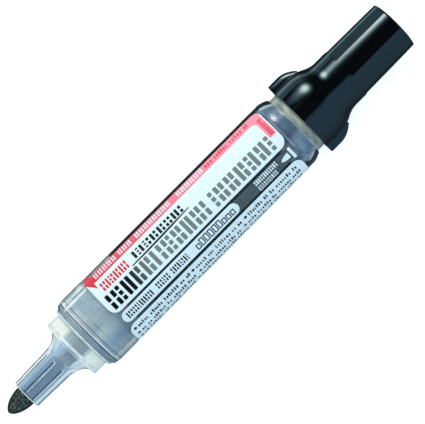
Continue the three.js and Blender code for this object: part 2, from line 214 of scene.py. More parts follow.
class Graph:
    """The shader nodes of a material or of the world."""

    def __init__(self, owner):
        owner.use_nodes = True
        self.nodes = owner.node_tree.nodes
        self.links = owner.node_tree.links

    def put(self, target, value):
        """Sets a socket to a value, or links an output to it."""
        if isinstance(value, bpy.types.NodeSocket):
            self.links.new(value, target)
        else:
            target.default_value = value

    def fill(self, node, **sockets):
        for socket, value in sockets.items():
            self.put(node.inputs[socket.replace("_", " ")], value)
        return node

    def add(self, kind, **sockets):
        return self.fill(self.nodes.new("ShaderNode" + kind), **sockets)

    def coordinates(self, kind):
        return self.add("TexCoord").outputs[kind]

    def reach(self, value, low, high, first=0, last=1):
        """A number that goes from first to last as value goes from low to high."""
        node = self.add("MapRange", Value=value, From_Min=low, From_Max=high, To_Min=first, To_Max=last)
        return node.outputs["Result"]

    def math(self, operation, first, second):
        node = self.add("Math")
        node.operation = operation
        self.put(node.inputs[0], first)
        self.put(node.inputs[1], second)
        return node.outputs["Value"]

    def ramp(self, value, stops, interpolation="LINEAR"):
        """A colour ramp. stops are (position, colour)."""
        node = self.add("ValToRGB", Fac=value)
        node.color_ramp.interpolation = interpolation
        elements = node.color_ramp.elements
        while len(elements) < len(stops):
            elements.new(0.5)
        for element, (position, colour) in zip(elements, stops):
            element.position = position
            element.color = (*colour, 1)
        return node.outputs["Color"]

    def steps(self, value, stops):
        """A number that follows another. stops are (position, number)."""
        return self.ramp(value, [(position, (number,) * 3) for position, number in stops])

    def mix_shaders(self, share, first, last):
        node = self.add("MixShader", Fac=share)
        self.put(node.inputs[1], first)
        self.put(node.inputs[2], last)
        return node.outputs["Shader"]


class Surface(Graph):
    """A material with a Principled shader, built up call by call. coat is its weight and roughness."""

    def __init__(self, name, roughness, coat=(0, 0.03), **sockets):
        self.material = bpy.data.materials.new(name)
        super().__init__(self.material)
        self.shader = self.nodes["Principled BSDF"]
        self.output = self.nodes["Material Output"].inputs["Surface"]
        self.place = self.coordinates("Object")
        self.fill(self.shader, Roughness=roughness, Coat_Weight=coat[0], Coat_Roughness=coat[1], **sockets)

    def noise(self, scale, detail, stretch=(1, 1, 1)):
        """Noise that is fixed to the object. scale is features per metre."""
        spot = self.add("Mapping", Vector=self.place, Scale=stretch).outputs["Vector"]
        return self.add("TexNoise", Vector=spot, Scale=scale, Detail=detail).outputs["Fac"]

    def between(self, axis, low, high):
        """0 at one place on an axis of the frame and 1 at another, in metres."""
        return self.reach(self.add("SeparateXYZ", Vector=self.place).outputs[axis], low, high)

    def along(self, low, high):
        """0 at one station and 1 at another."""
        return self.between("X", TIP_X + low * MM, TIP_X + high * MM)

    def across(self, low, high):
        """0 and 1 at two distances from the axis, in mm towards +Y."""
        return self.between("Y", low * MM, high * MM)

    def shades(self, value, low, high, edges=(0.3, 0.7)):
        """A blend of two colours that follows a number between two edges."""
        return self.ramp(value, [(edges[0], low), (edges[1], high)])

    def facing(self, low, high, first=0, last=1):
        """A number that goes from first to last as the view turns from head on (0) to grazing (1)."""
        return self.reach(self.add("LayerWeight", Blend=0.5).outputs["Facing"], low, high, first, last)

    def mix(self, share, first, last):
        """A blend of two colours, or of two outputs."""
        node = self.add("Mix")
        node.data_type = "RGBA"
        self.fill(node, Factor=share)
        for socket, value in (("A", first), ("B", last)):
            target = [i for i in node.inputs if i.name == socket and i.type == "RGBA"][0]
            self.put(target, (*value, 1) if isinstance(value, tuple) else value)
        return [o for o in node.outputs if o.type == "RGBA"][0]

    def colour(self, output, glow=0):
        """Sets the base colour. glow makes the colour shine as well: painted light, standing in for light
        that reaches inside the plastic.
        """
        self.fill(self.shader, Base_Color=output)
        if glow:
            self.fill(self.shader, Emission_Color=output, Emission_Strength=glow)
        return self

    def vary_roughness(self, value, low, high):
        self.fill(self.shader, Roughness=self.reach(value, 0, 1, low, high))
        return self

    def bump(self, value, height=0.00002):
        """height is in metres."""
        self.fill(self.shader, Normal=self.add("Bump", Height=value, Distance=height).outputs["Normal"])
        return self

    def see_through(self, share, tint=(1, 1, 1)):
        """Lets a share of what is behind show through. share is a number or an output."""
        clear = self.add("BsdfTransparent", Color=(*tint, 1))
        self.put(self.output, self.mix_shaders(share, self.shader.outputs["BSDF"], clear.outputs["BSDF"]))
        return self

    def clear_behind(self, share):
        """Keeps the far wall clear where it is seen from inside."""
        return self.math("MAXIMUM", share, self.add("NewGeometry").outputs["Backfacing"])

    def gloss(self, roughness):
        """Adds the reflections that see_through has thinned out."""
        glossy = self.add("BsdfGlossy", Roughness=roughness)
        fresnel = self.add("Fresnel", IOR=PLASTIC_IOR)
        below = self.output.links[0].from_socket
        self.put(self.output, self.mix_shaders(fresnel.outputs["Fac"], below, glossy.outputs["BSDF"]))
        return self


# ---- materials

PLASTIC_IOR = 1.49
DRAWN_OUT = (0.3, 1, 1)  # stretches noise along the marker
INK_FROM, INK_EDGE = 43.8, 45.2  # stations where the barrel's painted rim turns from pale to black
PLUG_FROM, PLUG_EDGE = 94.8, 95.4  # stations where the barrel's painted rim turns to the plug's


def felt_material():
    """Felt soaked in ink, with paler fibres standing out. Painted shade darkens it towards its outline."""
    s = Surface("nib_felt", 0.9, Specular_IOR_Level=0.2)
    fibres = s.noise(4200, 8, (0.5, 1, 1))
    stops = [(0.4, (0.003, 0.006, 0.007)), (0.5, (0.014, 0.024, 0.025)), (0.6, (0.11, 0.15, 0.14))]
    s.colour(s.mix(s.facing(0.16, 0.62), s.ramp(fibres, stops), (0.002, 0.005, 0.006)))
    return s.bump(fibres, 0.00005).material


def core_material():
    """The wet core inside the writing end, seen blue through the plastic. Painted shade darkens it towards
    -Y and painted light brightens it towards +Y; its glow is painted light too.
    """
    s = Surface("wet_core", 0.5, (0.3, 0.2))
    clouds = s.noise(240, 3, (0.5, 1, 1))
    darker_tones = s.shades(clouds, (0.008, 0.05, 0.11), (0.045, 0.15, 0.25), (0.32, 0.68))
    painted_lit_side = s.shades(clouds, (0.3, 0.42, 0.5), (0.52, 0.64, 0.68), (0.32, 0.68))
    return s.colour(s.mix(s.across(0.2, 2.2), darker_tones, painted_lit_side), 0.24).material


def frosted_material():
    s = Surface("frosted_plastic", 0.2, (0.3, 0.12))
    clouds = s.noise(300, 3, DRAWN_OUT)
    body = s.shades(clouds, (0.24, 0.34, 0.4), (0.44, 0.53, 0.56))
    side = s.shades(clouds, (0.48, 0.58, 0.61), (0.71, 0.77, 0.76))
    wall = s.mix(s.facing(0.26, 0.32), body, side)
    # Painted shade darkens the outline, and the glow is painted light.
    s.colour(s.mix(s.facing(0.58, 0.76), wall, (0.03, 0.05, 0.06)), 0.06)
    s.vary_roughness(clouds, 0.14, 0.24)
    clearness = s.steps(s.facing(0, 1), [(0.22, 0.74), (0.32, 0.3), (0.6, 0.3), (0.72, 0.03)])
    return s.see_through(clearness, (0.78, 0.88, 1.0)).material


def stain_and_shade_material():
    """Darker plastic in grooves and seams: ink stain and painted shade together."""
    s = Surface("stain_and_shade_plastic", 0.3, (0.2, 0.2))
    s.colour(s.shades(s.noise(700, 3, (0.2, 1, 1)), (0.015, 0.03, 0.07), (0.06, 0.1, 0.17)))
    return s.see_through(0.25).material


def spigot_material():
    """The plain, clearer plastic of the nozzle's flare and spigot."""
    s = Surface("spigot_plastic", 0.2, (0.3, 0.1))
    pale = s.shades(s.noise(260, 3), (0.56, 0.63, 0.63), (0.78, 0.78, 0.69))
    # Painted shade darkens the outline, and the glow is painted light.
    s.colour(s.mix(s.facing(0.72, 0.9), pale, (0.2, 0.24, 0.26)), 0.12)
    return s.see_through(s.facing(0.4, 0.62, 0.84, 0.24), (0.84, 0.93, 1.0)).material


def milky_material():
    s = Surface("milky_plastic", 0.28, (0.3, 0.1))
    pale = s.shades(s.noise(230, 3), (0.6, 0.65, 0.61), (0.8, 0.77, 0.67))
    # Painted shade darkens the outline, and the glow is painted light.
    s.colour(s.mix(s.facing(0.75, 0.95), pale, (0.4, 0.42, 0.38)), 0.12)
    return s.see_through(s.facing(0.07, 0.13, 0.84, 0.24), (0.84, 0.95, 1.0)).material


def painted_highlight_material():
    """Painted highlight: pale plastic put on edges and lines that catch the light."""
    s = Surface("painted_highlight", 0.2, (0.5, 0.08))
    s.colour(s.shades(s.noise(500, 3), (0.5, 0.58, 0.6), (0.78, 0.82, 0.8), (0.35, 0.65)))
    return s.see_through(0.25).material


def ring_material():
    s = Surface("ring_plastic", 0.18, (0.6, 0.06))
    # The glow is painted light.
    s.colour(s.shades(s.noise(260, 3, (0.4, 1, 1)), (0.11, 0.17, 0.23), (0.24, 0.31, 0.36)), 0.1)
    s.bump(s.noise(700, 2))
    return s.see_through(s.facing(0.3, 0.8, 0.4, 0.08), (0.8, 0.88, 0.95)).material


def collector_material():
    """Thin discs with ink drawn between them, mottled. Painted shade darkens them towards -Y and painted
    light brightens them towards +Y; their glow is painted light too.
    """
    s = Surface("collector_plastic", 0.3, (0.3, 0.15))
    clouds = s.noise(150, 4, (0.6, 1, 1))
    darker_tones = [(0.36, (0.13, 0.2, 0.27)), (0.48, (0.22, 0.3, 0.35)), (0.66, (0.4, 0.45, 0.43))]
    painted_lit_side = [(0.36, (0.24, 0.33, 0.4)), (0.48, (0.36, 0.44, 0.48)), (0.64, (0.54, 0.58, 0.54))]
    s.colour(s.mix(s.across(0.5, 4.5), s.ramp(clouds, darker_tones), s.ramp(clouds, painted_lit_side)), 0.4)
    return s.bump(s.noise(700, 2)).material


def ink_film_material():
    s = Surface("ink_film", 0.2, (0.5, 0.1))
    # The glow is painted light.
    return s.colour(s.shades(s.noise(400, 3), (0.15, 0.21, 0.28), (0.34, 0.4, 0.43)), 0.36).material


def barrel_material():
    """A thick clear wall. Its rim is painted pale in front of the cartridge and black beside the ink:
    painted light and shade standing in for what would show through it, bent outwards."""
    s = Surface("clear_plastic", 0.08, (1, 0.03))
    front = s.shades(s.noise(200, 3, (2.0, 0.6, 0.6)), (0.32, 0.39, 0.43), (0.66, 0.72, 0.7))
    # Painted light and shade on the rim: pale in front, black beside the ink and dark at the rear.
    painted_front_rim = s.mix(s.facing(0.86, 0.97), front, (0.17, 0.2, 0.21))
    painted_rear_rim = s.mix(s.facing(0.51, 0.57), (0.34, 0.42, 0.46), (0.006, 0.01, 0.014))
    painted_dark_beside_ink = s.mix(s.along(INK_FROM, INK_EDGE), painted_front_rim, (0.006, 0.008, 0.011))
    s.colour(s.mix(s.along(PLUG_FROM, PLUG_EDGE), painted_dark_beside_ink, painted_rear_rim))
    s.vary_roughness(s.noise(500, 3, DRAWN_OUT), 0.05, 0.16)
    s.bump(s.noise(120, 2, (0.2, 1, 1)))
    clearness = s.clear_behind(s.facing(0.43, 0.53, 0.95, 0.02))
    return s.see_through(clearness, (0.88, 0.93, 0.97)).gloss(0.05).material


def bore_material():
    """The inside of the barrel's wall."""
    s = Surface("clear_bore", 0.1)
    s.colour(s.shades(s.noise(200, 3, (2.0, 0.6, 0.6)), (0.4, 0.48, 0.52), (0.6, 0.65, 0.66)))
    return s.see_through(s.facing(0.5, 1.0, 0.97, 0.8), (0.98, 0.99, 1.0)).material


def cartridge_material():
    s = Surface("cartridge_plastic", 0.08, (1, 0.03), Base_Color=(0.02, 0.024, 0.03, 1))
    s.vary_roughness(s.noise(500, 3, DRAWN_OUT), 0.05, 0.16)
    return s.see_through(s.facing(0.3, 0.8, 0.9, 0.3), (0.92, 0.95, 0.98)).material


def film_material():
    s = Surface("label_film", 0.12, (1, 0.05), Base_Color=(0.03, 0.035, 0.04, 1))
    s.bump(s.noise(180, 3, DRAWN_OUT), 0.00003)
    return s.see_through(s.facing(0.4, 0.9, 0.96, 0.8)).material


def print_material(name, low, high, graded=None):
    """Printed ink under the film's gloss. It has the faint mottle of a screen print, or is graded from one
    station to another."""
    s = Surface(name, 0.35, (0.25, 0.06), Specular_IOR_Level=0.25)
    if graded:
        s.colour(s.shades(s.along(*graded), low, high, (0, 1)))
    else:
        s.colour(s.shades(s.noise(900, 4), low, high))
    return s.bump(s.noise(180, 3, DRAWN_OUT), 0.00003).material


def cap_material():
    """Glossy black moulding with a trace of flow marks."""
    black = (0.0015, 0.002, 0.0025, 1)
    tint = (0.62, 0.98, 1.1, 1)
    s = Surface("cap_plastic", 0.1, (0.3, 0.04), Base_Color=black, Specular_Tint=tint)
    s.vary_roughness(s.noise(340, 5), 0.07, 0.16)
    return s.bump(s.noise(260, 2), 0.00001).material


def neck_material():
    s = Surface("neck_plastic", 0.25, (0.4, 0.1))
    # The glow is painted light.
    s.colour(s.shades(s.noise(300, 4, (2.5, 1, 1)), (0.11, 0.15, 0.145), (0.32, 0.37, 0.33)), 0.1)
    return s.bump(s.noise(700, 2)).material


def inked_spigot_material():
    """The part of the plug inside the barrel, with ink showing blue in patches. It is darker in a band
    along it, from about Y = -1 mm to 3 mm, and its glow is painted light.
    """
    s = Surface("inked_spigot", 0.25, (0.4, 0.1))
    patches = s.noise(170, 3, (0.9, 1, 1))
    stops = [(0.36, (0.08, 0.14, 0.21)), (0.5, (0.2, 0.27, 0.33)), (0.64, (0.44, 0.51, 0.53))]
    darker_tones = s.shades(patches, (0.014, 0.035, 0.09), (0.09, 0.15, 0.22), (0.36, 0.64))
    dark_band = s.steps(s.across(-3.2, 5.2), [(0, 0), (0.25, 1), (0.75, 1), (1, 0)])
    s.colour(s.mix(dark_band, s.ramp(patches, stops), darker_tones), 0.3)
    return s.bump(s.noise(700, 2)).material


def silicone_material():
    """A pale sealing ring, tinted by ink."""
    s = Surface("seal_silicone", 0.4, (0.3, 0.2))
    tinted = s.shades(s.noise(220, 3), (0.1, 0.15, 0.23), (0.36, 0.43, 0.46), (0.34, 0.66))
    # The glow is painted light.
    return s.colour(tinted, 0.25).material


def rubber_material():
    s = Surface("seal_rubber", 0.6, Base_Color=(0.015, 0.015, 0.017, 1))
    s.vary_roughness(s.noise(900, 4), 0.5, 0.75)
    return s.bump(s.noise(1500, 3)).material


def ink_material():
    s = Surface("ink", 0.08, (1, 0.02))
    dark = s.shades(s.noise(120, 2), (0.002, 0.002, 0.004), (0.006, 0.007, 0.012), (0.35, 0.7))
    return s.colour(dark).material


def liner_material():
    s = Surface("liner_plastic", 0.4)
    s.colour(s.shades(s.noise(300, 3), (0.74, 0.75, 0.72), (0.84, 0.84, 0.8)))
    return s.bump(s.noise(900, 2)).material


def steel_material():
    s = Surface("spring_steel", 0.28, Base_Color=(0.62, 0.63, 0.65, 1), Metallic=1.0)
    s.vary_roughness(s.noise(1200, 4), 0.2, 0.4)
    return s.bump(s.noise(2500, 2), 0.00001).material


FELT = felt_material()
CORE = core_material()
FROSTED = frosted_material()
STAIN_AND_SHADE = stain_and_shade_material()
SPIGOT = spigot_material()
MILKY = milky_material()
PAINTED_HIGHLIGHT = painted_highlight_material()
RING = ring_material()
COLLECTOR = collector_material()
INK_FILM = ink_film_material()
CLEAR = barrel_material()
BORE = bore_material()
CARTRIDGE_CLEAR = cartridge_material()
FILM = film_material()
CAP_BLACK = cap_material()
NECK = neck_material()
INKED_SPIGOT = inked_spigot_material()
SILICONE = silicone_material()
RUBBER = rubber_material()
INK = ink_material()
LINER = liner_material()
STEEL = steel_material()
PANEL_WHITE = print_material("print_white", (0.54, 0.67, 0.72), (0.6, 0.73, 0.77))
PRINT_BLACK = print_material("print_black", (0.002, 0.002, 0.003), (0.006, 0.007, 0.009))
PRINT_GREY = print_material("print_graded", (0.002, 0.002, 0.003), (0.13, 0.165, 0.16), (45, 50))
PRINT_RED = print_material("print_red", (0.56, 0.012, 0.035), (0.72, 0.22, 0.29), (38, 80))
PRINT_DARK_GREY = print_material("print_dark_grey", (0.036, 0.055, 0.062), (0.056, 0.08, 0.09))
PRINT_DEEP_RED = print_material("print_deep_red", (0.5, 0.008, 0.018), (0.58, 0.02, 0.03))


# ---- writing end


def make_nib():
    """A felt bullet with slightly fuzzy fibres."""
    radius = radius_of("nib")
    shank = radius - 0.08
    nose = front_of("nozzle")
    end = front_of("ink_collector") - 0.1
    corners = [(0, 0, 0)]
    steps = 40
    for i in range(1, steps + 1):
        share = (i / steps) ** 2
        corners.append((nose * share, radius * (1 - (1 - share) ** 2) ** 0.58, 0))
    corners += [(nose + 0.5, shank, 0), (nose + 1, shank, 0), (end, shank, 0), (end, 0, 0)]

    def fuzz(station, reach, angle):
        if station > nose:
            return reach
        turn = math.radians(angle)
        spot = Vector((station, reach * math.sin(turn), reach * math.cos(turn)))
        return reach - 0.025 * abs(noise.noise(spot * 3.4)) * min(1, station)

    nib = turned("nib_tip", corners, shape=fuzz, smooth_angle=40)
    add_piece(nib, "barrel", "nib", FELT)
    second_material(nib, CORE, (nose + 0.6, math.inf))


GROOVES = 9
GROOVE_HALF_WIDTH = 3.4  # degrees
GROOVE_DEPTH = 0.26
FIRST_GROOVE = -12  # degrees


def off_groove(angle):
    """How far an angle is from the nearest groove's middle, in half widths."""
    return off_nearest(angle, FIRST_GROOVE, GROOVES) / GROOVE_HALF_WIDTH


def make_nozzle():
    front, end = span_of("nozzle")
    collar = front_of("seat_collar")
    snout_end = front + 10.45
    groove_end = front + 10.9
    clear_from = 18.2
    bore = radius_of("nib") + 0.15
    flare_radius = 6.55
    spigot_radius = 6.9
    spigot_bore = 6.1
    over_bore = 3.6  # parts the snout's outside from its bore
    outer = [(front, bore, 0.1), (front, 3.98, 0.3)]
    snout = [(front + 0.6 + 0.25 * i, 3.99 + 0.0068 * i, 0) for i in range(41)]
    flare = curve((snout_end + 0.4, 4.28), (19.6, 4.4), (20.9, 5.7), (collar - 0.1, flare_radius), 14)
    rear = [
        (collar - 0.1, flare_radius, 0.1),
        (collar - 0.05, spigot_radius, 0.05),
        (end, spigot_radius, 0.2),
        (end, spigot_bore, 0.2),
        (21.8, spigot_bore, 0.5),
        (17.8, bore, 0.5),
    ]

    def grooved(station, radius, angle):
        if radius < over_bore or station > groove_end:
            return radius
        fade = min(1, (groove_end - station) / 0.4)
        return radius - GROOVE_DEPTH * fade * max(0, 1 - off_groove(angle) ** 2)

    nozzle = turned("nozzle_snout", outer + snout + flare + rear, even_angles(360), grooved, 30)
    add_piece(nozzle, "barrel", "nozzle", FROSTED)
    second_material(nozzle, SPIGOT, (clear_from, math.inf))
    # Darker plastic in the grooves, ink stain and painted shade; painted highlights beside the grooves, at
    # their ends and along the front edge.
    for material, start, angles in (
        (STAIN_AND_SHADE, front + 0.4, (-0.75, 0.75)),
        (PAINTED_HIGHLIGHT, front + 0.8, (1.4, 2.3)),
        (PAINTED_HIGHLIGHT, groove_end - 0.3, (-0.75, 0.75)),
    ):
        second_material(nozzle, material, (start, groove_end), (over_bore, math.inf), angles, off_groove)
    second_material(nozzle, PAINTED_HIGHLIGHT, (0, front + 0.35), (3.1, math.inf))


def make_seat_collar():
    front, end = span_of("seat_collar")
    bore = 7.05
    seat_radius = 8.23
    spigot_radius = 7.95
    seal_radius = 7.26
    corners = [(front, bore, 0.1), (front, seat_radius, 0.9), (22.05, seat_radius, 0)]
    corners += [(22.85, seat_radius, 0), (25.6, seat_radius, 0.12), (25.6, spigot_radius, 0.05)]
    corners += [(27.2, spigot_radius, 0.05), (27.2, seal_radius, 0.05), (28.6, seal_radius, 0.05)]
    corners += [(28.6, spigot_radius, 0.05), (end, spigot_radius, 0.2), (end, bore, 0.1)]
    seat = turned("cap_seat", corners)
    add_piece(seat, "barrel", "seat_collar", MILKY)
    # A painted highlight on a band near the collar's front.
    second_material(seat, PAINTED_HIGHLIGHT, (22.0, 22.9), (8, math.inf))


def make_front_ring():
    front, end = span_of("front_ring")
    bore = 8.1
    spigot_radius = 8.6
    step = 27.5
    corners = [(front, bore, 0.1), (front, 9.15, 0.12), (front + 0.45, 9.2, 0.1)]
    corners += [(front + 0.55, 9.05, 0.05), (front + 0.7, 9.3, 0.1), (front + 1.1, 9.7, 0.3)]
    corners += [(step - 0.25, 9.98, 0.1), (step, 9.8, 0.05), (step, spigot_radius, 0.05)]
    corners += [(end + 0.3, spigot_radius, 0.1), (end + 0.3, bore, 0.1)]
    ring = turned("bevel_ring", corners)
    add_piece(ring, "barrel", "front_ring", RING)
    # A painted highlight on the ring's front lip.
    second_material(ring, PAINTED_HIGHLIGHT, (0, front + 0.5), (9, math.inf))
    second_material(ring, COLLECTOR, (step - 0.1, math.inf))


def make_collector():
    """Thin comb discs on a stem."""
    front, end = span_of("ink_collector")
    radius = radius_of("ink_collector")
    bore = 1.4
    stem_radius = 2.9
    root_radius = 7.9
    slot_radius = 8.15
    comb_from = 30.6
    fins = 12
    thickness = 0.42
    pitch = (end - comb_from - thickness) / (fins - 1)
    corners = [(front, bore, 0.05), (front, stem_radius, 0.15), (comb_from, stem_radius, 0.1)]
    for i in range(fins):
        station = comb_from + i * pitch
        corners += [(station, radius, 0.06), (station + thickness, radius, 0.06)]
        if i < fins - 1:
            corners += [(station + thickness, root_radius, 0.05), (station + pitch, root_radius, 0.05)]
    corners.append((end, bore, 0.05))

    def slotted(station, reach, angle):
        """A feed slot along the top of the comb, cut through every disc."""
        return slot_radius if reach > slot_radius and abs(angle - 1.5) < 2.6 else reach

    collector = turned("comb_collector", corners, even_angles(180), slotted, 35)
    add_piece(collector, "barrel", "ink_collector", COLLECTOR)
    second_material(collector, INK_FILM, (comb_from, math.inf), (0, 7.75))
    second_material(collector, CORE, (0, comb_from), (0, 3.2))
    # A painted highlight: a pale streak along the edges of the discs.
    second_material(collector, PAINTED_HIGHLIGHT, radii=(7.75, math.inf), angles=(-66, -60))


# ---- barrel and label

BARREL_FRONT, BARREL_END = span_of("barrel")
BARREL_RADIUS = radius_of("barrel")
BARREL_BORE = 8.75
FULL_FROM = 28.4  # station where the barrel is widest
SHOULDER = 96.5
SHOULDER_RADIUS = 9.83
FILM_FROM, FILM_TO = span_of("label_film")
FILM_THICKNESS = 0.1
FILM_GAP = 0.05
FILM_HEIGHTS = (-0.04, 0.05)  # over the barrel's wall, at the film's front and rear


def tapered_radius(station):
    """The barrel's outer surface."""
    share = (station - FULL_FROM) / (SHOULDER - FULL_FROM)
    return BARREL_RADIUS + share * (SHOULDER_RADIUS - BARREL_RADIUS)


def film_radius(station):
    """The film's outer surface."""
    front, rear = FILM_HEIGHTS
    return tapered_radius(station) + front + (rear - front) * (station - FILM_FROM) / (FILM_TO - FILM_FROM)


def make_barrel():
    seam = (29.0, 29.2)
    recess_from = FILM_FROM - 0.15
    recess_to = FILM_TO + 0.15
    end_radius = 8.95
    corners = [
        (BARREL_FRONT, BARREL_BORE, 0.1),
        (BARREL_FRONT, 10.0, 0.08),
        (FULL_FROM, BARREL_RADIUS, 0.5),
        (seam[0], tapered_radius(seam[0]), 0),
        (seam[1], tapered_radius(seam[1]), 0),
        (recess_from, tapered_radius(recess_from), 0.05),
        (recess_from, film_radius(recess_from) - FILM_THICKNESS - FILM_GAP, 0.03),
        (recess_to, film_radius(recess_to) - FILM_THICKNESS - FILM_GAP, 0.03),
        (recess_to, tapered_radius(recess_to), 0.05),
    ]
    rounded_end = ((recess_to + 0.3, SHOULDER_RADIUS), (97.0, 9.7), (97.7, 9.3), (BARREL_END, end_radius))
    corners += curve(*rounded_end, 10)
    corners += [(BARREL_END, end_radius, 0.05), (BARREL_END, BARREL_BORE, 0.05)]
    barrel = turned("clear_barrel", corners)
    add_piece(barrel, "barrel", "barrel", CLEAR)
    second_material(barrel, BORE, radii=(0, BARREL_BORE + 0.1))
    # A painted highlight on the edge just behind the ring.
    second_material(barrel, PAINTED_HIGHLIGHT, (28.0, 28.3), (10, math.inf))
    # Painted shade darkens the front edge, where the ring meets it, and a seam behind it.
    for stations in ((BARREL_FRONT + 0.1, 27.9), seam):
        second_material(barrel, STAIN_AND_SHADE, stations, (9.9, math.inf))
    # A painted reflection: a pale streak along the front of the barrel.
    second_material(barrel, PAINTED_HIGHLIGHT, (0, FILM_FROM), (10, math.inf), (-51.5, -47))


def make_film():
    under = FILM_THICKNESS
    ends = ((FILM_FROM, under), (FILM_FROM, 0), (FILM_TO, 0), (FILM_TO, under))
    corners = [(station, film_radius(station) - depth, 0) for station, depth in ends]
    add_piece(turned("wrap_film", corners), "barrel", "label_film", FILM)


# Printed shapes are thin closed patches that follow the film. Each is a list of columns
# (station, lowest angle, highest angle).

PRINT_STEP = 3.0  # degrees between rows of a patch
STRIP, PANEL, MARK, MARK_ON_MARK = (0.008, 0.02, 0.042, 0.064)  # heights above the film
QUARTER = math.pi / 2


def add_patch(made, columns, lift, thickness):
    rows = max(1, round(max(high - low for _, low, high in columns) / PRINT_STEP))
    layers = []
    for height in (lift, lift + thickness):
        grid = []
        for station, low, high in columns:
            radius = film_radius(station) + height
            angles = [low + (high - low) * j / rows for j in range(rows + 1)]
            grid.append([made.verts.new(place(station, radius, angle)) for angle in angles])
        layers.append(grid)
    under, over = layers
    last = len(columns) - 1
    for i in range(last):
        for j in range(rows):
            for grid in layers:
                made.faces.new((grid[i][j], grid[i + 1][j], grid[i + 1][j + 1], grid[i][j + 1]))
        for j in (0, rows):
            made.faces.new((under[i][j], under[i + 1][j], over[i + 1][j], over[i][j]))
    for i in (0, last):
        for j in range(rows):
            made.faces.new((under[i][j], under[i][j + 1], over[i][j + 1], over[i][j]))


def print_layer(name, patches, material, lift, thickness=0.012):
    made = bmesh.new()
    for columns in patches:
        add_patch(made, columns, lift, thickness)
    add_piece(finished(name, made, 30), "barrel", None, material)


def block(start, stop, low, high):
    return [(start, low, high), (stop, low, high)]


def rounded_columns(start, stop, low, high, corner):
    """Columns of a rectangle with round corners. corner is in mm, or a pair for its two ends."""
    first, second = corner if isinstance(corner, tuple) else (corner, corner)
    turns = [QUARTER * i / 8 for i in range(9)]
    insets = [(start + first * (1 - math.cos(turn)), first * (1 - math.sin(turn))) for turn in turns]
    turns.reverse()
    insets += [(stop - second * (1 - math.cos(turn)), second * (1 - math.sin(turn))) for turn in turns]
    columns = []
    for station, inset in insets:
        degrees = math.degrees(inset / film_radius(station))
        columns.append((station, low + degrees, high - degrees))
    return columns


def diamond(station, angle, size):
    turn = math.degrees(size / film_radius(station))
    halves = ((-size, 0.1), (0, turn), (size, 0.1))
    return [(station + offset, angle - half, angle + half) for offset, half in halves]


def token(rng, start, width, low, high, slit, corner):
    """One mark: two bars side by side, each whole or cut into equal blocks. It stands for printing and
    is no letter. slit and corner are in mm."""
    stroke = 0.37 * width
    turn = math.degrees(slit / film_radius(start))
    parts = []
    for first in (start, start + width - stroke):
        blocks = rng.choice((1, 2, 2, 3))
        height = (high - low - turn * (blocks - 1)) / blocks
        for i in range(blocks):
            top = low + i * (height + turn)
            parts.append((first, first + stroke, top, top + height))
    if corner:
        return [rounded_columns(*part, corner) for part in parts]
    return [block(*part) for part in parts]


def tokens(groups, low, high, advance, slit, fill=0.8, corner=0):
    """Rows of marks. groups are (seed, start, count)."""
    marks = []
    for seed, start, count in groups:
        rng = random.Random(seed)
        for i in range(count):
            marks += token(rng, start + i * advance, advance * fill, low, high, slit, corner)
    return marks


def dashes(seed, start, stop, low, high, advance=0.72):
    """A row of tiny blocks of uneven height, in groups of uneven length."""
    rng = random.Random(seed)
    marks = []
    station = start
    while station < stop - advance * 1.5:
        for _ in range(rng.randint(2, 7)):
            if station > stop - advance:
                break
            top = low + (high - low) * rng.choice((0, 0.3, 0.3))
            marks.append(block(station, station + advance * rng.uniform(0.45, 0.7), top, high))
            station += advance * rng.uniform(0.9, 1.1)
        station += advance * 0.8
    return marks


PANEL_FROM, PANEL_TO = 35.35, 94.65
# Angles of the main panel's edge, of the arrow along it and of the end of the arrow's bend.
TOP_EDGE = -63.4
BAND_LOW, BAND_HIGH = -65.2, -46.5
BAND_END = -11.0


def band_columns():
    """The red arrow along the top of the main panel, which bends down at its rear end."""
    tip = FILM_FROM + 0.1
    head = 2.3
    middle = -57.5
    columns = []
    for i in range(13):
        half = 0.3 + 22.5 * i / 12
        columns.append((tip + head * i / 12, middle - half, middle + half))
    columns.append((tip + head + 0.02, BAND_LOW, BAND_HIGH))
    bend_from, bend_to = 90.8, 92.2
    columns += [(60, BAND_LOW, BAND_HIGH), (bend_from, BAND_LOW, BAND_HIGH)]
    for i in range(1, 7):
        turn = QUARTER * i / 6
        station = bend_from + (bend_to - bend_from) * math.sin(turn)
        columns.append((station, BAND_LOW, BAND_HIGH + 9 * (1 - math.cos(turn))))
    columns.append((bend_to + 0.02, BAND_LOW, BAND_END))
    corner = 2.0
    corner_from = PANEL_TO - 0.3 - corner
    for i in range(9):
        turn = QUARTER * i / 8
        station = corner_from + corner * math.sin(turn)
        drop = corner * (1 - math.cos(turn))
        columns.append((station, BAND_LOW + math.degrees(drop / film_radius(station)), BAND_END))
    return columns


def print_panels():
    strip = rounded_columns(73.8, 94.1, 14.6, 33.2, (0.1, 1.2))
    print_layer("label_grey_strip", [strip], PRINT_DARK_GREY, STRIP, 0.006)
    white = [
        rounded_columns(PANEL_FROM, PANEL_TO, TOP_EDGE, 10.4, 2.3),
        rounded_columns(36.2, 75.3, 14.1, 32.4, 1.55),
        rounded_columns(35.3, 93.95, 37.6, 106, 2.2),
        rounded_columns(PANEL_FROM, PANEL_TO, 118, 262, 2.2),
    ]
    print_layer("label_panels", white, PANEL_WHITE, PANEL)
    print_layer("label_band", [band_columns()], PRINT_RED, MARK)


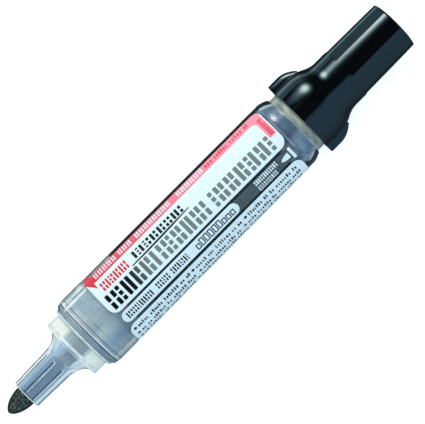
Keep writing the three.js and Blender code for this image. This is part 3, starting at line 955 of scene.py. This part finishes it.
def print_pale_marks():
    """Marks on the arrow, and marks, a bullet tip and its foot on the dark strip."""
    groups = ((11, 38.3, 5), (12, 46.6, 3), (13, 52.4, 8), (14, 66.6, 6))
    marks = tokens(groups, -62.5, -50.5, 1.5, 0.22, 0.72)
    print_layer("label_band_marks", marks, PANEL_WHITE, MARK_ON_MARK)
    marks = tokens(((15, 81.7, 6),), 15.8, 23.3, 1.25, 0.22)
    marks += tokens(((16, 81.7, 5),), 26.0, 33.4, 1.25, 0.22)
    bullet = [(90.0, 24.4, 24.8), (90.6, 22.2, 27.0), (91.4, 20.7, 28.5), (92.6, 20.0, 29.2)]
    foot = rounded_columns(93.1, 93.9, 15.6, 35.2, 0.25)
    print_layer("label_clear_marks", marks + [bullet, foot], PANEL_WHITE, PANEL)


def print_boxes():
    """A row of outlined boxes."""
    rng = random.Random(17)
    outlined, inner = [], []
    for i in range(9):
        start = 61.0 + 1.45 * i
        top = 17.2 + rng.choice((0, 0, 3.5))
        outlined.append(block(start, start + 1.25, top, 29.4))
        inner.append(block(start + 0.3, start + 0.95, top + 1.7, 27.7))
    print_layer("label_outlined_marks", outlined, PRINT_BLACK, MARK)
    print_layer("label_outline_fill", inner, PANEL_WHITE, MARK_ON_MARK)


def print_red_marks():
    marks = tokens(((22, 38.0, 5),), -38.5, -24, 1.75, 0.3, 0.82)
    marks += dashes(21, 76.2, 91.5, -61, -52, 0.8)
    rng = random.Random(23)
    for i in range(9):
        top = -46 + 3.8 * i
        marks.append(block(92.8, 92.8 + rng.choice((0.8, 1.15, 1.15)), top, top + 2.3))
    marks.append(diamond(74.5, 72.5, 0.6))
    print_layer("label_red_marks", marks, PRINT_DEEP_RED, MARK_ON_MARK)


def print_dark_marks():
    marks = tokens(((31, 48.8, 7),), -38.5, -26, 2.4, 0.4, 0.84)
    underline = [(47.0, -22.9, -21.1), (52, -23.4, -20.6), (60, -24.8, -21.8), (66.6, -25.2, -23.8)]
    marks.append(underline)
    marks += tokens(((32, 37.6, 6), (33, 47.6, 3), (34, 52.7, 4)), 18.2, 28.2, 1.45, 0.28, 0.78)
    print_layer("label_black_marks", marks, PRINT_BLACK, MARK)
    large = tokens(((7, 36.7, 5), (8, 53.8, 5)), -18.8, 5.4, 3.3, 0.45, 0.86, 0.15)
    large += tokens(((9, 71.6, 6),), -18.8, 5.4, 3.45, 0.45, 0.86, 0.15)
    print_layer("label_large_marks", large, PRINT_GREY, MARK)


def print_fine_marks():
    """Five rows of dashes led by diamonds, and eight plain rows round the back."""
    marks = []
    rows = [(43.5, 50.5), (56, 63.5), (68.5, 76.5), (81, 88), (93, 100)]
    for row, (low, high) in enumerate(rows):
        bullets = [36.7, 56.5 + 1.3 * (row % 2), 74.5 - 1.3 * (row % 2)]
        stops = bullets[1:] + [93.2]
        for i, (station, stop) in enumerate(zip(bullets, stops)):
            marks.append(diamond(station, (low + high) / 2, 0.55))
            marks += dashes(40 + 3 * row + i, station + 1, stop - 0.8, low, high)
    for row in range(8):
        low = 128 + 12.5 * row + 26 * (row > 3)
        marks += dashes(60 + row, 37, 92 - 4 * (row % 3), low, low + 7)
    print_layer("label_small_marks", marks, PRINT_BLACK, MARK)


# ---- cartridge, plug and pump

SPIGOT_RADIUS = BARREL_BORE - 0.12  # what slides in the barrel's bore


def make_cartridge():
    front, end = span_of("cartridge_tube")
    tube = turned("cartridge_wall", tube_corners(front, end, SPIGOT_RADIUS, 8.1, 0.15))
    add_piece(tube, "cartridge", "cartridge_tube", CARTRIDGE_CLEAR)

    front, end = span_of("cartridge_stopper")
    stopper = turned("pierced_stopper", tube_corners(front, end, 8.0, 2.45, 0.3))
    add_piece(stopper, "cartridge", "cartridge_stopper", RUBBER)

    front, end = span_of("ink_charge")
    radius = 8.04
    corners = [(front, 0, 0), (front, radius, 0.4), (end, radius, 1.2), (end + 0.001, 0, 0)]
    column = turned("ink_column", corners)
    add_piece(column, "cartridge", "ink_charge", INK)


def make_piston():
    front, end = span_of("cartridge_piston")
    lip_radius = 8.05
    waist_radius = 7.5
    corners = [(front + 0.4, 0, 0), (front + 0.4, 7.0, 0.3), (front, 7.4, 0.2), (front, lip_radius, 0.15)]
    corners += [(front + 0.8, lip_radius, 0.15), (front + 0.8, waist_radius, 0.15)]
    corners += [(end - 0.8, waist_radius, 0.15), (end - 0.8, lip_radius, 0.15)]
    corners += [(end, lip_radius, 0.2), (end, 0, 0)]
    piston = turned("rubber_piston", corners)
    add_piece(piston, "piston", "cartridge_piston", RUBBER)


def make_rear_plug():
    front, end = span_of("rear_plug")
    bore = 7.2
    seal_radius = 7.86
    neck_from = BARREL_END + 0.1
    seat = front_of("cap_shell") - 0.2
    rings = 4
    pitch = (seat - neck_from) / rings
    corners = [(front, bore, 0.1), (front, SPIGOT_RADIUS, 0.4), (94.3, SPIGOT_RADIUS, 0.1)]
    corners += [(94.3, seal_radius, 0.08), (95.9, seal_radius, 0.08), (95.9, SPIGOT_RADIUS, 0.1)]
    corners += [(98.3, SPIGOT_RADIUS, 0.1), (neck_from, 8.55, 0.05)]
    for i in range(rings):
        for share, radius in ((0.25, 8.54), (0.55, 8.54), (0.7, 8.3), (0.9, 8.3)):
            corners.append((neck_from + i * pitch + share * pitch, radius, 0.06))
    post_radius = 8.15
    post_bore = 5.35
    chamber_radius = 4.3
    rod_hole = 1.62
    corners += [(seat, 8.4, 0.1), (seat, post_radius, 0.05), (end, post_radius, 0.5)]
    corners += [(end, post_bore, 0.1), (106.2, post_bore, 0.05), (106.2, chamber_radius, 0.1)]
    corners += [(100, chamber_radius, 0.3), (100, rod_hole, 0.1), (98.6, rod_hole, 0.1), (98.6, bore, 0.6)]
    plug = turned("ringed_plug", corners, smooth_angle=35)
    add_piece(plug, "rear_plug", "rear_plug", NECK)
    second_material(plug, INKED_SPIGOT, (0, neck_from))

    retainer = turned("retaining_ring", tube_corners(front_of("button_retainer"), end, 5.2, 3.8, 0.25))
    add_piece(retainer, "rear_plug", "button_retainer", NECK)


def make_button():
    front, end = span_of("pump_button")
    rod_end = 107.0
    flange_end = 105.9
    rod_hole = 1.62
    flange_radius = 4.15
    radius = 3.6
    corners = [(rod_end, 0, 0), (rod_end, rod_hole, 0.2), (front, rod_hole, 0.1)]
    corners += [(front, flange_radius, 0.15), (flange_end, flange_radius, 0.15), (flange_end, radius, 0.2)]
    corners += [(end, radius, 1.0), (end, 2.4, 0.1), (end - 0.25, 2.1, 0.1), (end - 0.3, 0, 0)]
    button = turned("push_button", corners)
    add_piece(button, "button", "pump_button", CAP_BLACK)


def make_spring():
    """A coil between the plug's chamber wall and the button's flange."""
    low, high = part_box("pump_spring")
    wire = 0.25
    coil_radius = 2.6
    front = (low.x - TIP_X) / MM + wire
    end = (high.x - TIP_X) / MM - wire
    turns = 3.5
    steps = 220
    sides = 12
    made = bmesh.new()
    rings = []
    for i in range(steps + 1):
        share = i / steps
        middle = front + (end - front) * share
        ring = []
        for k in range(sides):
            around = 2 * math.pi * k / sides
            station = middle + wire * math.cos(around)
            radius = coil_radius + wire * math.sin(around)
            ring.append(made.verts.new(place(station, radius, 360 * turns * share)))
        rings.append(ring)
    bridge(made, rings)
    made.faces.new(rings[0])
    made.faces.new(rings[-1])
    spring = finished("return_spring", made, 60)
    spring.data.materials.append(STEEL)
    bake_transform(spring)
    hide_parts("pump_spring")


# ---- cap

FLATS = 8
FLAT_HALF_ANGLE = 13.0  # degrees
FLAT_RADIUS = 6.98
NECK_RADIUS = FLAT_RADIUS / math.cos(math.radians(FLAT_HALF_ANGLE))
GRIP_FROM = 116.8
GRIP_DRAFT = 0.18
CAP_BORE = 5.9
CAP_SMOOTHING = 11  # degrees


def grip_angles():
    """Angles with a vertex on each edge of each flat."""
    pitch = 360 / FLATS
    gap = pitch - 2 * FLAT_HALF_ANGLE
    angles = []
    for k in range(FLATS):
        angles += [k * pitch - FLAT_HALF_ANGLE + 2 * FLAT_HALF_ANGLE * i / 10 for i in range(10)]
        angles += [k * pitch + FLAT_HALF_ANGLE + gap * i / 8 for i in range(8)]
    return angles


def flattened(station, radius, angle):
    """Planes eight flats on the grip, outside the cap's bore."""
    nearest = off_nearest(angle, 0, FLATS)
    if station < GRIP_FROM or radius < CAP_BORE + 0.05 or abs(nearest) >= FLAT_HALF_ANGLE:
        return radius
    return radius * (math.cos(math.radians(FLAT_HALF_ANGLE)) / math.cos(math.radians(nearest)))


def fin_mesh(side):
    """One fin: a crowned blade with a curved rear corner, rooted in the skirt's wall."""
    rim = front_of("cap_shell")
    reach = radius_of("cap_shell") - 0.02
    foot = 8.75
    rear = (108.7, 9.0)
    outline = [(rim + 0.02, reach - 0.15), (rim + 0.2, reach), (102, reach), (103.2, reach)]
    outline += [point[:2] for point in curve((104.3, reach), (105.9, reach - 0.1), (107.4, 10.2), rear, 12)]
    outline.append(rear)
    shares = [k / 10 for k in range(11)]
    made = bmesh.new()
    loops = []
    for station, edge in outline:
        loop = []
        for level, order in ((1, shares), (-1, reversed(shares))):
            for share in order:
                across = side * (foot + (edge - foot) * share)
                height = level * (0.2 + 1.4 * math.sqrt(max(0, 1 - share**1.5)))
                loop.append(made.verts.new((TIP_X + station * MM, across * MM, AXIS_Z + height * MM)))
        loops.append(loop)
    bridge(made, loops)
    made.faces.new(loops[0])
    made.faces.new(loops[-1])
    return finished("fin", made)


def unite(base, others):
    """Joins solids into one closed surface."""
    for other in others:
        union = base.modifiers.new("union", "BOOLEAN")
        union.operation = "UNION"
        union.solver = "EXACT"
        union.object = other
    graph = bpy.context.evaluated_depsgraph_get()
    mesh = bpy.data.meshes.new_from_object(base.evaluated_get(graph), depsgraph=graph)
    base.modifiers.clear()
    base.data = mesh
    for other in others:
        bpy.data.objects.remove(other)


def make_cap():
    rim = front_of("cap_shell")
    skirt = 9.27
    skirt_bore = 8.3
    bore_end = 131.8
    neck_from = 113.4
    grip_end = NECK_RADIUS - GRIP_DRAFT
    corners = [(bore_end, 0, 0), (bore_end, CAP_BORE, 0.6), (111.0, CAP_BORE, 0.6)]
    corners += [(108.2, skirt_bore, 0.5), (rim, skirt_bore, 0.15), (rim, skirt, 0.18)]
    corners += curve((104.9, skirt), (109.7, skirt), (109.7, NECK_RADIUS), (neck_from, NECK_RADIUS), 26)
    for station in (neck_from, GRIP_FROM - 0.05, GRIP_FROM + 0.05):
        corners.append((station, NECK_RADIUS, 0))
    corners.append((LENGTH - 0.8, grip_end, 0.35))
    crown = ((LENGTH - 0.7, grip_end - 0.06), (LENGTH - 0.3, 6.5), (LENGTH - 0.02, 4.6), (LENGTH, 2.5))
    corners += curve(*crown, 12)
    corners += [(LENGTH, 2.5, 0), (LENGTH, 0, 0)]
    cap = turned("cap_moulding", corners, grip_angles(), flattened, CAP_SMOOTHING)
    unite(cap, [fin_mesh(1), fin_mesh(-1)])
    cap.data.shade_smooth()
    cap.data.set_sharp_from_angle(angle=math.radians(CAP_SMOOTHING))
    cap.data.materials.clear()
    add_piece(cap, "cap", "cap_shell", CAP_BLACK)


def make_liner():
    front, end = span_of("cap_liner")
    bore = 4.35
    bore_end = 128.4
    radius = 5.75
    corners = [(bore_end, 0, 0), (bore_end, bore, 0.6), (front + 0.5, bore, 0.2), (front, 4.85, 0.2)]
    corners += [(front, 5.55, 0.15), (111.0, radius, 0.1), (end, radius, 0.5), (end, 0, 0)]
    liner = turned("seal_cup", corners)
    add_piece(liner, "cap", "cap_liner", LINER)


# ---- stage


def make_floor():
    made = bmesh.new()
    bmesh.ops.create_grid(made, x_segments=8, y_segments=8, size=1.6)
    floor = finished("floor", made)
    s = Surface("floor_paper", 0.9, Emission_Color=(1, 1, 1, 1), Emission_Strength=0.4)
    s.colour(s.shades(s.noise(30, 2), (0.9, 0.9, 0.905), (0.915, 0.915, 0.915)))
    floor.data.materials.append(s.material)
    floor.visible_glossy = False


def add_lamp(thing, position, facing, up):
    """Puts a lamp in the scene with its Z axis along a direction."""
    thing.location = position
    thing.rotation_mode = "QUATERNION"
    thing.rotation_quaternion = facing.to_track_quat("Z", up)
    bpy.context.scene.collection.objects.link(thing)


def add_light(name, position, target, side, energy, colour):
    """A square panel that lights the marker but is not reflected in it."""
    lamp = bpy.data.lights.new(name, "AREA")
    lamp.shape = "RECTANGLE"
    lamp.size = lamp.size_y = side
    lamp.energy = energy
    lamp.color = colour
    light = bpy.data.objects.new(name, lamp)
    light.visible_glossy = False
    add_lamp(light, position, Vector(position) - Vector(target), "X")


# What the gloss reflects: degrees from straight up, positive towards +Y, and a colour.
SKY = [
    (-180, (0.05, 0.07, 0.08)),
    (-128, (0.06, 0.09, 0.11)),
    (-95, (0.26, 0.42, 0.54)),
    (-70, (0.34, 0.58, 0.78)),
    (-20, (0.36, 0.62, 0.84)),
    (-9, (0.004, 0.005, 0.006)),
    (28, (0.004, 0.005, 0.006)),
    (38, (0.16, 0.24, 0.3)),
    (85, (0.42, 0.66, 0.8)),
    (108, (0.36, 0.56, 0.64)),
    (119, (1.0, 1.5, 1.6)),
    (127, (0.7, 1.1, 1.2)),
    (134, (0.03, 0.04, 0.05)),
    (180, (0.03, 0.04, 0.05)),
]


def make_world():
    """White to the camera, and a studio of soft panels round the marker to everything else."""
    world = bpy.data.worlds.new("studio")
    bpy.context.scene.world = world
    g = Graph(world)
    split = g.add("SeparateXYZ", Vector=g.coordinates("Generated")).outputs
    lean = g.math("ARCTAN2", split["Y"], split["Z"])
    stops = [((degrees + 180) / 360, colour) for degrees, colour in SKY]
    sky = g.ramp(g.reach(lean, -math.pi, math.pi), stops)
    rearward = g.reach(split["X"], 0.3, 0.6, 1, 0.03)
    fill_side = g.math("LESS_THAN", split["Y"], 0)
    strength = g.math("MAXIMUM", rearward, fill_side)
    panels = g.fill(g.nodes["Background"], Color=sky, Strength=strength)
    white = g.add("Background", Color=(1, 1, 1, 1))
    to_camera = g.add("LightPath").outputs["Is Camera Ray"]
    shown = g.mix_shaders(to_camera, panels.outputs["Background"], white.outputs["Background"])
    g.put(g.nodes["World Output"].inputs["Surface"], shown)


# The softbox's brightness from its rim to its middle.
SCREEN_LEVELS = [
    (0.1, (0, 0, 0)),
    (0.34, (0.06, 0.09, 0.105)),
    (0.5, (0.11, 0.15, 0.16)),
    (0.76, (1.06, 0.92, 0.82)),
    (0.9, (1.25, 1.02, 0.9)),
]
SCREEN_STRENGTH = 13.5


def make_softbox():
    """A small lamp screen beside the cap, brightest in its middle."""
    half_width, half_height = 0.12, 0.13
    made = bmesh.new()
    corners = [(-1, -1), (1, -1), (1, 1), (-1, 1)]
    made.faces.new([made.verts.new((x * half_width, y * half_height, 0)) for x, y in corners])
    mesh = bpy.data.meshes.new("softbox")
    made.to_mesh(mesh)
    made.free()
    screen = bpy.data.objects.new("softbox", mesh)
    position = Vector((0.112, 0.215, 0.134))
    add_lamp(screen, position, Vector((0.045, 0, AXIS_Z)) - position, "Y")
    material = bpy.data.materials.new("softbox")
    g = Graph(material)
    g.nodes.clear()
    spot = g.add("Mapping", Vector=g.coordinates("Object"), Scale=(1 / half_width, 1 / half_height, 1))
    glow = g.add("TexGradient", Vector=spot.outputs["Vector"])
    glow.gradient_type = "SPHERICAL"
    level = g.ramp(glow.outputs["Fac"], SCREEN_LEVELS, "B_SPLINE")
    emission = g.add("Emission", Color=level, Strength=SCREEN_STRENGTH)
    g.put(g.add("OutputMaterial").inputs["Surface"], emission.outputs["Emission"])
    mesh.materials.append(material)
    screen.visible_camera = False
    screen.visible_shadow = False


CAMERA_DISTANCE = 0.813
CAMERA_LENS = 282.3
CAMERA_ROLL = -45.18  # degrees
VIEW_CENTRE = (0.0028, -0.00075)


def make_camera():
    camera = bpy.data.cameras.new("camera")
    camera.lens = CAMERA_LENS
    camera.sensor_width = 36
    camera.clip_end = 10
    eye = bpy.data.objects.new("camera", camera)
    eye.location = (*VIEW_CENTRE, AXIS_Z + CAMERA_DISTANCE)
    eye.rotation_euler = (0, 0, math.radians(CAMERA_ROLL))
    bpy.context.scene.collection.objects.link(eye)
    bpy.context.scene.camera = eye


make_camera()
make_world()
make_floor()
bpy.context.scene.view_settings.view_transform = "Standard"
make_softbox()
add_light("overhead", (0, 0.05, 0.95), (0, 0, 0), 1.3, 8.5, (1, 0.985, 0.96))
add_light("fill", (0, -0.5, 0.5), (0, 0, 0), 0.6, 1.1, (1, 0.96, 0.9))
add_light("front_left", (-0.3, 0.36, 0.3), (-0.05, 0, 0), 0.3, 0.7, (1, 1, 0.98))

make_nib()
make_nozzle()
make_seat_collar()
make_front_ring()
make_collector()
make_barrel()
make_film()
print_panels()
print_pale_marks()
print_boxes()
print_red_marks()
print_dark_marks()
print_fine_marks()
make_cartridge()
make_piston()
make_rear_plug()
make_button()
make_spring()
make_cap()
make_liner()
for node, material in (
    ("feed_wick", FELT),
    ("piercing_tube", MILKY),
    ("front_seal_ring", RUBBER),
    ("plug_seal_ring", SILICONE),
    ("pump_rod", MILKY),
):
    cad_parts[node].data.materials.clear()
    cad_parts[node].data.materials.append(material)
